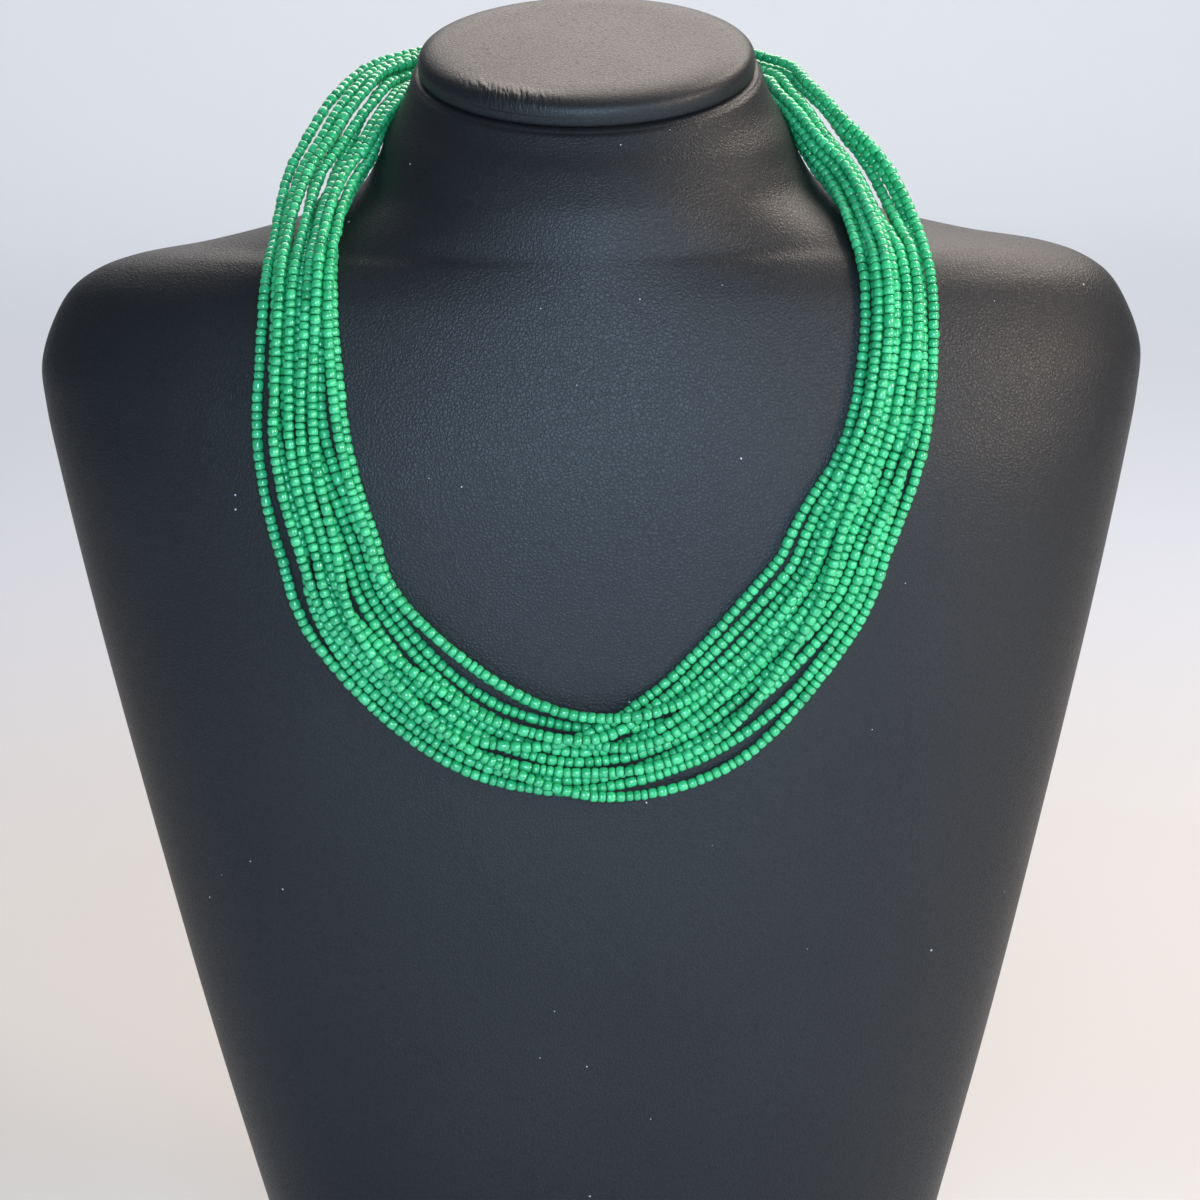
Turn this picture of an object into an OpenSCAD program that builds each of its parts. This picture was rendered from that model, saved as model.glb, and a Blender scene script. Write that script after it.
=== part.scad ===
// Multi strand bead necklace laid over a plain padded neck bust.
// Millimetres, +Z up, the front faces -Y, the origin is the middle of the bust's foot.

/* [Bust] */
// Height of the shoulder line above the foot
shoulder_h = 300; // [280:1:320]
// Width across the shoulders
shoulder_w = 270; // [250:1:290]
// Depth of the chest in front of the middle plane
chest_d = 55; // [50:1:60]
// Depth of the back behind the middle plane
back_d = 40; // [36:1:44]

/* [Neck] */
// Height of the neck above the shoulder line
neck_h = 37.5; // [34:0.5:39]
// Width of the neck at its top
neck_w = 84; // [78:1:86]
// Depth of the neck, front to back, at its top
neck_d = 68; // [64:1:72]
// Lean of the neck's top towards the front
neck_tilt = 20; // [14:1:24]

/* [Neck cap] */
// How far the cap stands back from the neck's rim
cap_inset = 1.2; // [0.5:0.1:3]
// Thickness of the padded cap
cap_t = 7; // [5:0.5:9]
// Radius of the cap's rolled upper edge
cap_round = 2.8; // [1.5:0.1:3.5]
// Seam between the cap and the neck
cap_seam = 0.2; // [0.1:0.05:0.4]

/* [Strands] */
// Diameter of a seed bead
bead_d = 2.5; // [2:0.1:2.7]
// Air kept between two strands that lie together
strand_gap = 0.45; // [0.3:0.05:0.6]
// Air kept between a strand and the bust
seat_gap = 0.8; // [0.4:0.05:1]

/* [Clasp] */
// Length of the clasp, end cup to end cup
clasp_l = 17.4; // [15:0.1:17.4]
// Thickness of the straight mouth of each end cup
cup_rim = 1.6; // [1:0.1:2.5]
// Wall of an end cup outside the strands that it gathers
cup_wall = 0.8; // [0.5:0.1:1.2]
// Diameter of the barrel between the cups
barrel_d = 6.5; // [5:0.1:7.5]
// Length of the barrel
barrel_l = 7; // [5:0.5:9]
// Width of the groove round the barrel's middle
groove_w = 0.8; // [0.4:0.1:1.2]

/* [Hidden] */
STRANDS = 12;

RIM_POINTS = 48;
TUBE_SIDES = 8;
TUBE_RINGS = 66;
FINE_STEPS = 8;
BISECTIONS = 18;
REACH = 30;
EPS = 0.01;

neck_top_z = shoulder_h + neck_h;
pitch = bead_d + strand_gap;

// Rows of the torso: height as a share of shoulder_h, half width of shoulder_w / 2,
// front of chest_d, back of back_d, then how square the outline is
torso_rows = [
    [0.000, 0.540, 0.730, 1.00, 2.60],
    [0.150, 0.630, 0.820, 1.00, 2.60],
    [0.330, 0.735, 0.910, 1.00, 2.50],
    [0.510, 0.830, 0.980, 1.00, 2.40],
    [0.690, 0.920, 1.000, 1.00, 2.30],
    [0.810, 0.975, 0.970, 0.97, 2.15],
    [0.860, 0.995, 0.935, 0.96, 2.00],
    [0.895, 1.000, 0.900, 0.94, 1.90],
    [0.930, 0.975, 0.860, 0.90, 1.80],
    [0.955, 0.940, 0.830, 0.87, 1.70],
    [0.971, 0.890, 0.810, 0.84, 1.60],
    [0.982, 0.820, 0.796, 0.82, 1.55],
    [0.993, 0.680, 0.782, 0.80, 1.57]];

// Rows of the neck: height as a share of neck_h, half width of neck_w / 2,
// front and back of neck_d / 2, squareness, then the lean as a share of neck_tilt
neck_rows = [
    [0.11, 1.620, 1.230, 0.92, 1.76, 0.00],
    [0.27, 1.330, 1.195, 0.92, 1.93, 0.10],
    [0.45, 1.220, 1.150, 0.92, 2.00, 0.30],
    [0.62, 1.160, 1.105, 0.93, 2.00, 0.50],
    [0.82, 1.060, 1.055, 0.95, 2.00, 0.80],
    [1.00, 1.000, 1.000, 0.98, 2.00, 1.00]];

// Every row in millimetres: height, half width, front, back, squareness, lean
bust_rows = concat(
    [for (r = torso_rows) [r[0] * shoulder_h, r[1] * shoulder_w / 2, r[2] * chest_d, r[3] * back_d,
        r[4], 0]],
    [for (r = neck_rows) [shoulder_h + r[0] * neck_h, r[1] * neck_w / 2, r[2] * neck_d / 2,
        r[3] * neck_d / 2, r[4], r[5] * neck_tilt]]);

// The bundle's middle line, from the bottom of the loop to the clasp, on the side of +X.
// Chosen points: place x, y and height over the shoulder line, then the direction away from the
// bust, then 1 where the strands lie on the bust and 0 where they hang free beside the neck
stations = [
    [0, -55, -120, 0, -1, 0, 1],
    [13, -55, -118, 0, -1, 0, 1],
    [28, -54, -111, 0.07, -1, 0, 1],
    [45, -52, -97, 0.13, -1, 0, 1],
    [57, -50, -83, 0.17, -1, 0.05, 1],
    [62, -48, -68, 0.18, -1, 0.1, 1],
    [67, -46, -54, 0.2, -1, 0.2, 1],
    [70, -42, -40, 0.2, -0.95, 0.25, 1],
    [71.5, -33, -14, 0.2, -0.85, 0.45, 1],
    [70, -20, -1, 0.15, -0.6, 0.75, 1],
    [66.5, -6, 11, 0.05, -0.8, 0.6, 0],
    [61.5, 3, 19.5, 0, -0.9, 0.4, 0],
    [56, 13.5, 27, 0, -1, 0.25, 0],
    [48, 28, 32, 0, -1, 0.2, 0],
    [29, 40.5, 36, 0, -1, 0.1, 0],
    [9, 42.5, 36, 0, -1, 0, 0]];

// Chosen places of the strands across the bundle, positive towards its inner edge.
// A row for each strand, the deepest first, and a column for each station:
// clasp, back of neck, 3 beside the neck, ridge, shoulder, 6 down the chest, beside the bottom's
// middle and, in left_places only, the bottom's middle
left_places = [
    [4.5, 4.5, 5.2, 7, 7, 8.5, 11.5, 12.5, 12, 10, 11, 10.5, 11.5, 11, 10.5],
    [-4.5, -7.5, -8, -8, -8, -4.5, -4.5, -8.5, -10.5, -13, -12, -12, -11, -8.5, -6],
    [4.5, 5.5, 7.2, 8.5, 9, 10.5, 9, 6.5, 6, 7, 9, 6, 6, 8.5, 9.5],
    [1.5, 2, 2.4, 4, 3.5, 0, 1, -1.5, 0, 0, -4.5, -2.5, -0.5, 1.5, 2.5],
    [-1.5, -4, -3.2, -2, -1.5, 3, 4, 1.5, 3, 4, 4, -0.5, -2, 0, 1],
    [-1.5, -1, -0.4, 1.5, 3, 6, 7, 4.5, 6.5, 6.5, 7, 4, 1.5, 3.5, 4],
    [-4.5, -5.2, -4.6, -4, -4.5, -3, -1.5, -4, -3.5, -6, -8.5, -10, -9.5, -6.5, -3.5],
    [-1.5, -0.5, 1, 1, 0.5, 3, 3, 0, -1.5, -3, -3, -5.5, -3, 2, 8],
    [1.5, 2, 3.5, 4.5, 4, 5.5, 7, 3, 1, -1, -1.5, 1, 3, 5.5, 6],
    [-4.5, -3.5, -1.8, -1.5, -2, -1, 0.5, -4, -5.5, -7.5, -6, -8, -8.5, -4, -2],
    [4.5, 5, 6.5, 9, 9, 10.5, 11, 12, 11.5, 9.5, 11.5, 11, 12, 11.5, 11.5],
    [1.5, 3, 5.5, 7, 6.5, 8.5, 9.5, 6, 4.5, 1.5, 0.5, -4, -4.5, -5.5, -8]];
right_places = [
    [4.5, 7, 8, 8, 7.5, 6.5, 4, 7, 9, 9, 13, 11, 10, 9],
    [-4.5, -4, -2.5, -2.5, -3, -5, -4, -4.5, -5, -5.5, -3.5, -7.5, -6.5, -5],
    [-1.5, 0, 1.5, 1.5, -0.5, -0.5, -1.5, 1, 1.5, 1.5, 3, 3, 3.5, 6.5],
    [1.5, 5.5, 6.5, 6.5, 5, 3.5, 1.5, 4.5, 5.5, 5.5, 9, 5.5, 6, 5],
    [-4.5, -3, -1.5, -1, -3.5, -3.5, -5, -2.5, -1.5, -1, 0.5, 3.5, 0.5, 0.5],
    [1.5, 3, 4.5, 4.5, 2.5, 1, -4, -0.5, 3, 6.5, 7.5, 6.5, 4.5, 2.5],
    [-1.5, -1.5, 0, -0.5, -3.5, -6, -7, -6, -3.5, -3.5, -2, -2, -2, -1.5],
    [4.5, 7, 7.5, 7.5, 7.5, 7, 5.5, 8, 10, 16, 18.5, 18.5, 15, 13],
    [4.5, 5.5, 7, 7, 5, 5, 3.5, 5.5, 8.5, 11, 14.5, 15, 13, 9.5],
    [-1.5, 0, 2.5, 3, 2, 1.5, -0.5, 2.5, 4.5, 5, 6.5, 1.5, -4, -3],
    [1.5, 3, 5, 5, 3.5, 3.5, 2.5, 4, 6.5, 7.5, 10.5, 9, 8, 10.5],
    [-4.5, -3.5, -1, -1.5, -4.5, -7, -8.5, -9, -8.5, -7, -4, -8.5, -12.5, -10]];

// Names
function strand_name(i) = str("strand_", i < 10 ? "0" : "", i);

// Small helpers
function unit(v) = v / norm(v);
function reversed(list) = [for (i = [len(list) - 1:-1:0]) list[i]];
function column(list, c) = [for (row = list) row[c]];
function part_of(row, from, to) = [for (i = [from:to]) row[i]];

// Point of a smooth curve through the listed values, u counted in list steps
function curve(list, u) = let(
    last = len(list) - 1,
    i = min(floor(u), last - 1),
    t = u - i,
    a = list[max(i - 1, 0)],
    b = list[i],
    c = list[i + 1],
    d = list[min(i + 2, last)])
    0.5 * (2 * b + (c - a) * t + (2 * a - 5 * b + 4 * c - d) * t * t
        + (3 * b - a - 3 * c + d) * t * t * t);

// Outline of the bust at one row: two half ovals, squarer as the fifth value grows
function rim_point(row, angle, inset = 0) = let(
    c = cos(angle),
    s = sin(angle),
    power = 2 / row[4],
    x = (row[1] - inset) * sign(c) * pow(abs(c), power),
    y = ((s < 0 ? row[2] : row[3]) - inset) * sign(s) * pow(abs(s), power))
    [x, y * cos(row[5]), row[0] + y * sin(row[5])];
function rim(row, inset = 0) = [for (i = [0:RIM_POINTS - 1]) rim_point(row, 360 * i / RIM_POINTS, inset)];

// True inside the bust, where one row after another gives its outline
widths = [for (r = bust_rows) [r[0], r[1]]];
fronts = [for (r = bust_rows) [r[0], r[2]]];
backs = [for (r = bust_rows) [r[0], r[3]]];
squares = [for (r = bust_rows) [r[0], r[4]]];
leans = [for (r = bust_rows) [r[0], r[5]]];
function row_height(p, z) = p[2] - p[1] * tan(lookup(z, leans));
function in_bust(p) = let(
    z = row_height(p, row_height(p, p[2])),
    power = lookup(z, squares),
    depth = lookup(z, p[1] < 0 ? fronts : backs) * cos(lookup(z, leans)))
    z < neck_top_z && pow(abs(p[0]) / lookup(z, widths), power) + pow(abs(p[1]) / depth, power) < 1;

// Height of the bust's surface above a point, along a direction, found by halving the reach
function ground(p, out, low = -REACH, high = REACH, left = BISECTIONS) =
    left == 0 ? high
    : let(middle = (low + high) / 2)
        in_bust(p + out * middle) ? ground(p, out, middle, high, left - 1)
        : ground(p, out, low, middle, left - 1);

// The whole bundle from the clasp's left cup round the front to its right cup
mirror_x = [-1, 1, 1];
function times(a, b) = [a[0] * b[0], a[1] * b[1], a[2] * b[2]];
right_line = [for (s = stations) [s[0], s[1], shoulder_h + s[2]]];
right_out = [for (s = stations) part_of(s, 3, 5)];
line = concat(reversed([for (i = [1:len(stations) - 1]) times(right_line[i], mirror_x)]), right_line);
outward = concat(reversed([for (i = [1:len(stations) - 1]) times(right_out[i], mirror_x)]), right_out);
lying = concat(reversed([for (i = [1:len(stations) - 1]) stations[i][6]]), column(stations, 6));
places = [for (k = [0:STRANDS - 1]) concat([left_places[k][0]], left_places[k],
    reversed(right_places[k]), [right_places[k][0]])];

// Stations of the tube rings, evenly spaced along the middle line, square to the clasp at both ends
line_end = len(line) - 1;
fine = [for (i = [0:line_end * FINE_STEPS]) i / FINE_STEPS];
function run_lengths(points) = [for (i = 0, run = 0; i < len(points);
    i = i + 1, run = run + (i < len(points) ? norm(points[i] - points[i - 1]) : 0)) run];
fine_runs = run_lengths([for (u = fine) curve(line, u)]);
run_to_u = [for (i = [0:len(fine) - 1]) [fine_runs[i], fine[i]]];
line_l = fine_runs[len(fine) - 1];
ring_u = [for (i = [0:TUBE_RINGS - 1]) lookup(line_l * i / (TUBE_RINGS - 1), run_to_u)];
ring_line = [for (u = ring_u) curve(line, u)];
ring_along = [for (i = [0:TUBE_RINGS - 1]) i == 0 || i == TUBE_RINGS - 1 ? [-1, 0, 0]
    : unit(ring_line[i + 1] - ring_line[i - 1])];
ring_across = [for (i = [0:TUBE_RINGS - 1]) unit(cross(curve(outward, ring_u[i]), ring_along[i]))];
ring_out = [for (i = [0:TUBE_RINGS - 1]) cross(ring_along[i], ring_across[i])];
ring_lying = [for (u = ring_u) let(i = min(floor(u), line_end - 1)) min(lying[i], lying[i + 1])];
ring_places = [for (k = [0:STRANDS - 1]) [for (u = ring_u) curve(places[k], u)]];

// Height of one strand over its bare seat: on the bust, or on the line where it hangs free
function seat(k, i) = let(
    g = ground(ring_line[i] + ring_across[i] * ring_places[k][i], ring_out[i]) + seat_gap + bead_d / 2)
    ring_lying[i] == 1 ? g : max(g, 0);

// Distance between two strands at a ring, nothing where they cross next to it
function apart(k, j, i) = let(
    d = [for (n = [max(i - 1, 0):min(i + 1, TUBE_RINGS - 1)]) ring_places[k][n] - ring_places[j][n]])
    min(d) < 0 && max(d) > 0 ? 0 : abs(ring_places[k][i] - ring_places[j][i]);

// Height at which a strand rests on the strands below it
function rest(k, i, below) = max([seat(k, i), for (j = [0:1:k - 1]) let(d = apart(k, j, i))
    if (d < pitch) below[j][i] + sqrt(pitch * pitch - d * d)]);

// The same heights eased along the strand, never lower than they were
function eased(h) = let(
    last = len(h) - 1,
    high = [for (i = [0:last]) max(h[max(i - 1, 0)], h[i], h[min(i + 1, last)])])
    [for (i = [0:last]) max(h[i], (high[max(i - 1, 0)] + high[i] + high[min(i + 1, last)]) / 3)];
function stacked(k, below) = k == STRANDS ? below
    : stacked(k + 1, concat(below, [eased([for (i = [0:TUBE_RINGS - 1]) rest(k, i, below)])]));
heights = stacked(0, []);

function strand_points(k) = [for (i = [0:TUBE_RINGS - 1])
    ring_line[i] + ring_across[i] * ring_places[k][i] + ring_out[i] * heights[k][i]];

// Solid between rings of equally many points, closed flat at both ends
module loft(rings) {
    n = len(rings[0]);
    last = len(rings) - 1;
    sides = [for (r = [0:last - 1], i = [0:n - 1])
        [r * n + i, (r + 1) * n + i, (r + 1) * n + (i + 1) % n, r * n + (i + 1) % n]];
    polyhedron([for (ring = rings) each ring],
        concat([[for (i = [0:n - 1]) i]], sides, [[for (i = [n - 1:-1:0]) last * n + i]]));
}

// Round tube through the points, its rings turned as little as the bundle turns
module tube(points, d) {
    last = len(points) - 1;
    loft([for (i = [0:last]) let(
        along = i == 0 || i == last ? ring_along[i] : unit(points[i + 1] - points[i - 1]),
        side = unit(cross(along, ring_out[i])),
        top = cross(side, along))
        [for (s = [0:TUBE_SIDES - 1]) let(a = 360 * (s + 0.5) / TUBE_SIDES)
            points[i] + (side * cos(a) + top * sin(a)) * d / 2]]);
}

module bust() {
    color("#30343a") loft([for (row = bust_rows) rim(row)]);
}

// Rows of the cap: height as a share of cap_t, then how far it draws in, as a share of cap_round
cap_rows = [[0, 0.35], [0.12, 0.05], [0.3, 0], [0.5, 0.03], [0.68, 0.2], [0.84, 0.62], [0.95, 1.3],
    [1, 2.3]];

module neck_cap() {
    top = bust_rows[len(bust_rows) - 1];
    flat = [0, top[1], top[2], top[3], top[4], 0];
    color("#8f8780") translate([0, 0, neck_top_z]) rotate([neck_tilt, 0, 0])
        loft([for (c = cap_rows) [for (p = rim(flat, cap_inset + c[1] * cap_round))
            p + [0, 0, cap_seam + c[0] * (cap_t - cap_seam)]]]);
}

// The gathered strands at the clasp, as a box across the bundle and out from it
mouth = line[line_end];
cup_h = max(column(left_places, 0)) - min(column(left_places, 0)) + bead_d + 2 * cup_wall;
cup_t = pitch + bead_d + 2 * cup_wall;

module clasp() {
    cup_x = clasp_l / 2 - cup_rim;
    color("#c9ccd0") translate([0, mouth[1] - pitch / 2, mouth[2]]) {
        for (side = [-1, 1]) hull() {
            translate([side * (cup_x + cup_rim / 2), 0, 0]) cup_plate(cup_rim);
            translate([side * barrel_l / 2, 0, 0]) rotate([0, 90, 0])
                cylinder(h = EPS, d = barrel_d, center = true, $fn = 32);
        }
        rotate([0, 90, 0]) rotate_extrude($fn = 48) barrel_outline();
    }
}

// Upright plate with round corners, the mouth of an end cup
module cup_plate(thickness) {
    corner = cup_t / 3;
    rotate([90, 0, 90]) linear_extrude(thickness, center = true) offset(corner, $fn = 24)
        square([cup_t - 2 * corner, cup_h - 2 * corner], center = true);
}

module barrel_outline() {
    r = barrel_d / 2;
    polygon([[0, -barrel_l / 2 - EPS], [r, -barrel_l / 2 - EPS], [r, -groove_w / 2],
        [r - groove_w / 2, 0], [r, groove_w / 2], [r, barrel_l / 2 + EPS], [0, barrel_l / 2 + EPS]]);
}

module strand(k) {
    color("#2fb873") tube(strand_points(k), bead_d);
}

bust();
neck_cap();
clasp();
for (i = [1:STRANDS]) strand(i - 1);
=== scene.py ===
"""Multi strand bead necklace laid over a padded neck bust: its visible surfaces, materials and stage."""
import math

import bpy
import numpy as np
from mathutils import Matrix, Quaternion, Vector


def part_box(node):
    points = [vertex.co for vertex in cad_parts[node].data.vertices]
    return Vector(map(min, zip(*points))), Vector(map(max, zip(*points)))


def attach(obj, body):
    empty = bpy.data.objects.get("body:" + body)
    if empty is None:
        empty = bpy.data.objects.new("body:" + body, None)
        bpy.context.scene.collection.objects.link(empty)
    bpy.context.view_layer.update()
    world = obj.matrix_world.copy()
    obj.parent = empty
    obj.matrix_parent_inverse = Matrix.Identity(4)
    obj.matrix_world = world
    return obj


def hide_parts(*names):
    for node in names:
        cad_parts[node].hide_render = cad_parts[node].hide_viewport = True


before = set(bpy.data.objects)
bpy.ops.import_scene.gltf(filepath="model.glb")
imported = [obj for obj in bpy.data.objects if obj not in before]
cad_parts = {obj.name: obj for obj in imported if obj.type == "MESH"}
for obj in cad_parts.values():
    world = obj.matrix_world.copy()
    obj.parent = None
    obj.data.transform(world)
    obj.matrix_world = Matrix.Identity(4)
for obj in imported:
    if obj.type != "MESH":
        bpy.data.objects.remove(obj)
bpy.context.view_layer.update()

bl_info = {
    "name": "Bead necklace on a neck bust",
    "version": (1, 0, 0),
    "blender": (4, 5, 0),
    "location": "View3D > Sidebar > Necklace",
    "description": "Builds the strings of beads, the clasp, the covered bust and its stage",
    "category": "Object",
}

MM = 0.001
BODY = "root"
STRAND_NODES = sorted(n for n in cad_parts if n.startswith("strand_"))

# The bust's named sizes, in millimetres, as the solids have them
SHOULDER_H = 300.0
SHOULDER_W = 270.0
CHEST_D = 55.0
BACK_D = 40.0
NECK_H = 37.5
NECK_W = 84.0
NECK_D = 68.0
NECK_TILT = 20.0
NECK_TOP = SHOULDER_H + NECK_H
CAP_T = 7.0
CAP_INSET = 1.2
CAP_ROUND = 2.8
CAP_SEAM = 0.2

# Torso rows: height, half width, front, back as shares of the sizes, squareness
TORSO_ROWS = np.array([
    [0, 0.54, 0.73, 1, 2.6], [0.15, 0.63, 0.82, 1, 2.6], [0.33, 0.735, 0.91, 1, 2.5],
    [0.51, 0.83, 0.98, 1, 2.4], [0.69, 0.92, 1, 1, 2.3], [0.81, 0.975, 0.97, 0.97, 2.15],
    [0.86, 0.995, 0.935, 0.96, 2], [0.895, 1, 0.9, 0.94, 1.9], [0.93, 0.975, 0.86, 0.9, 1.8],
    [0.955, 0.94, 0.83, 0.87, 1.7], [0.971, 0.89, 0.81, 0.84, 1.6], [0.982, 0.82, 0.796, 0.82, 1.55],
    [0.993, 0.68, 0.782, 0.8, 1.57]])
# Neck rows: height, half width, front, back, squareness, then the lean as a share of the tilt
NECK_ROWS = np.array([
    [0.11, 1.62, 1.23, 0.92, 1.76, 0], [0.27, 1.33, 1.195, 0.92, 1.93, 0.1],
    [0.45, 1.22, 1.15, 0.92, 2, 0.3], [0.62, 1.16, 1.105, 0.93, 2, 0.5], [0.82, 1.06, 1.055, 0.95, 2, 0.8],
    [1, 1, 1, 0.98, 2, 1]])

# The bundle's middle line from the bottom of the loop to the clasp, on the side of +X: place x, y
# and height over the shoulder line, direction away from the bust, 1 where the strands lie on it
STATIONS = np.array([
    [0, -55, -120, 0, -1, 0, 1], [13, -55, -118, 0, -1, 0, 1], [28, -54, -111, 0.07, -1, 0, 1],
    [45, -52, -97, 0.13, -1, 0, 1], [57, -50, -83, 0.17, -1, 0.05, 1], [62, -48, -68, 0.18, -1, 0.1, 1],
    [67, -46, -54, 0.2, -1, 0.2, 1], [70, -42, -40, 0.2, -0.95, 0.25, 1],
    [71.5, -33, -14, 0.2, -0.85, 0.45, 1], [70, -20, -1, 0.15, -0.6, 0.75, 1],
    [66.5, -6, 11, 0.05, -0.8, 0.6, 0], [61.5, 3, 19.5, 0, -0.9, 0.4, 0], [56, 13.5, 27, 0, -1, 0.25, 0],
    [48, 28, 32, 0, -1, 0.2, 0], [29, 40.5, 36, 0, -1, 0.1, 0], [9, 42.5, 36, 0, -1, 0, 0]])

# Places of the strands across the bundle, a row for each strand and the deepest first; columns run
# from the clasp to the bottom of the loop, as in the solids
LEFT_PLACES = np.array([
    [4.5, 4.5, 5.2, 7, 7, 8.5, 11.5, 12.5, 12, 10, 11, 10.5, 11.5, 11, 10.5],
    [-4.5, -7.5, -8, -8, -8, -4.5, -4.5, -8.5, -10.5, -13, -12, -12, -11, -8.5, -6],
    [4.5, 5.5, 7.2, 8.5, 9, 10.5, 9, 6.5, 6, 7, 9, 6, 6, 8.5, 9.5],
    [1.5, 2, 2.4, 4, 3.5, 0, 1, -1.5, 0, 0, -4.5, -2.5, -0.5, 1.5, 2.5],
    [-1.5, -4, -3.2, -2, -1.5, 3, 4, 1.5, 3, 4, 4, -0.5, -2, 0, 1],
    [-1.5, -1, -0.4, 1.5, 3, 6, 7, 4.5, 6.5, 6.5, 7, 4, 1.5, 3.5, 4],
    [-4.5, -5.2, -4.6, -4, -4.5, -3, -1.5, -4, -3.5, -6, -8.5, -10, -9.5, -6.5, -3.5],
    [-1.5, -0.5, 1, 1, 0.5, 3, 3, 0, -1.5, -3, -3, -5.5, -3, 2, 8],
    [1.5, 2, 3.5, 4.5, 4, 5.5, 7, 3, 1, -1, -1.5, 1, 3, 5.5, 6],
    [-4.5, -3.5, -1.8, -1.5, -2, -1, 0.5, -4, -5.5, -7.5, -6, -8, -8.5, -4, -2],
    [4.5, 5, 6.5, 9, 9, 10.5, 11, 12, 11.5, 9.5, 11.5, 11, 12, 11.5, 11.5],
    [1.5, 3, 5.5, 7, 6.5, 8.5, 9.5, 6, 4.5, 1.5, 0.5, -4, -4.5, -5.5, -8]])
RIGHT_PLACES = np.array([
    [4.5, 7, 8, 8, 7.5, 6.5, 4, 7, 9, 9, 13, 11, 10, 9],
    [-4.5, -4, -2.5, -2.5, -3, -5, -4, -4.5, -5, -5.5, -3.5, -7.5, -6.5, -5],
    [-1.5, 0, 1.5, 1.5, -0.5, -0.5, -1.5, 1, 1.5, 1.5, 3, 3, 3.5, 6.5],
    [1.5, 5.5, 6.5, 6.5, 5, 3.5, 1.5, 4.5, 5.5, 5.5, 9, 5.5, 6, 5],
    [-4.5, -3, -1.5, -1, -3.5, -3.5, -5, -2.5, -1.5, -1, 0.5, 3.5, 0.5, 0.5],
    [1.5, 3, 4.5, 4.5, 2.5, 1, -4, -0.5, 3, 6.5, 7.5, 6.5, 4.5, 2.5],
    [-1.5, -1.5, 0, -0.5, -3.5, -6, -7, -6, -3.5, -3.5, -2, -2, -2, -1.5],
    [4.5, 7, 7.5, 7.5, 7.5, 7, 5.5, 8, 10, 16, 18.5, 18.5, 15, 13],
    [4.5, 5.5, 7, 7, 5, 5, 3.5, 5.5, 8.5, 11, 14.5, 15, 13, 9.5],
    [-1.5, 0, 2.5, 3, 2, 1.5, -0.5, 2.5, 4.5, 5, 6.5, 1.5, -4, -3],
    [1.5, 3, 5, 5, 3.5, 3.5, 2.5, 4, 6.5, 7.5, 10.5, 9, 8, 10.5],
    [-4.5, -3.5, -1, -1.5, -4.5, -7, -8.5, -9, -8.5, -7, -4, -8.5, -12.5, -10]])

# Rings along the bundle's middle line, the solids' and the finer ones of the settled strings
COARSE_RINGS = 66
FINE_RINGS = 340
STRAND_PITCH = 2.95
SEAT = 1.65

# How the strings settle, in millimetres and shares a step. Pairs are a lasting part and a fading one.
DRAW_DOWN = (0.02, 0.06)
HOLD_PLACE = (0.03, 0.08)
LEAN_IN = 0.10
LEAN_END, LEAN_BLEND = 24.0, 10.0
EVEN_ROUNDS = 6
PUSH_ROUNDS = 2
PUSH_SHARE = 0.22
PUSH_REACH = 3
LEAST_CLEAR = SEAT - 0.3
LARGEST_MOVE = 0.5
LYING_BLEND = 18

# Lamps: place, aim and size in metres, the setting that gives the power, the share of it, colour
LAMPS = (
    ("room_lamp", (0.3, 2.2, 2.6), (0.1, 1.9, 0.0), (3.6, 2.6), "room_lamp", 1.0, (1.0, 0.96, 0.92)),
    ("back_light", (0.25, 1.0, 1.35), (0, 0, 0.3), (1.2, 0.7), "back_light", 1.0, (1.0, 0.84, 0.75)),
    ("high_side_light", (0.82, 0.35, 1.32), (0.12, 0, 0.28), (0.5, 0.5), "side_light", 0.5,
     (1.0, 0.88, 0.78)),
    ("side_light", (1.07, -0.69, 0.61), (0.12, 0, 0.27), (0.35, 0.35), "side_light", 0.5,
     (1.0, 0.84, 0.72)),
    ("front_light", (0.06, -1.4, 0.55), (0, 0, 0.14), (0.6, 0.5), "front_light", 1.0, (0.50, 0.74, 1.0)))

# The camera stands at the photograph's angle: metres and degrees
CAMERA_LENS = 108.0
CAMERA_AIM = (0.00125, 0, 0.206)
CAMERA_RISE = 13.0
CAMERA_DISTANCE = 0.9
CAMERA_ROLL = -0.88

# The floor: a level sheet that sweeps up into a wall far behind, in metres, and where its colours stand
FLOOR_HALF = 4.0
FLOOR_FRONT = -3.0
SWEEP_START = 2.4
SWEEP_RADIUS = 1.2
# Painted light: the floor's colours make it cool in front, where it throws bluish light onto the chest, and
# even out the lamps' falloff along its length, warm near the bust and cool far off.
RAMP_FRONT, RAMP_END = -1.0, 4.0
RAMP_STOPS = (0.12, 0.24, 0.42, 0.90)


# ---------------------------------------------------------------- curves and the bust's form

def catmull(points, u):
    """Smooth curve through the points, u counted in points: between two of them a cubic that leaves
    each point along the line between its neighbours."""
    points = np.asarray(points, float)
    last = len(points) - 1
    i = np.clip(np.floor(u).astype(int), 0, last - 1)
    t = u - i
    a, b, c, d = points[np.maximum(i - 1, 0)], points[i], points[i + 1], points[np.minimum(i + 2, last)]
    if points.ndim > 1:
        t = t[:, None]
    return 0.5 * (2 * b + (c - a) * t + (2 * a - 5 * b + 4 * c - d) * t ** 2
                  + (3 * b - a - 3 * c + d) * t ** 3)


def unit(v):
    return v / np.linalg.norm(v, axis=-1, keepdims=True)


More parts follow.
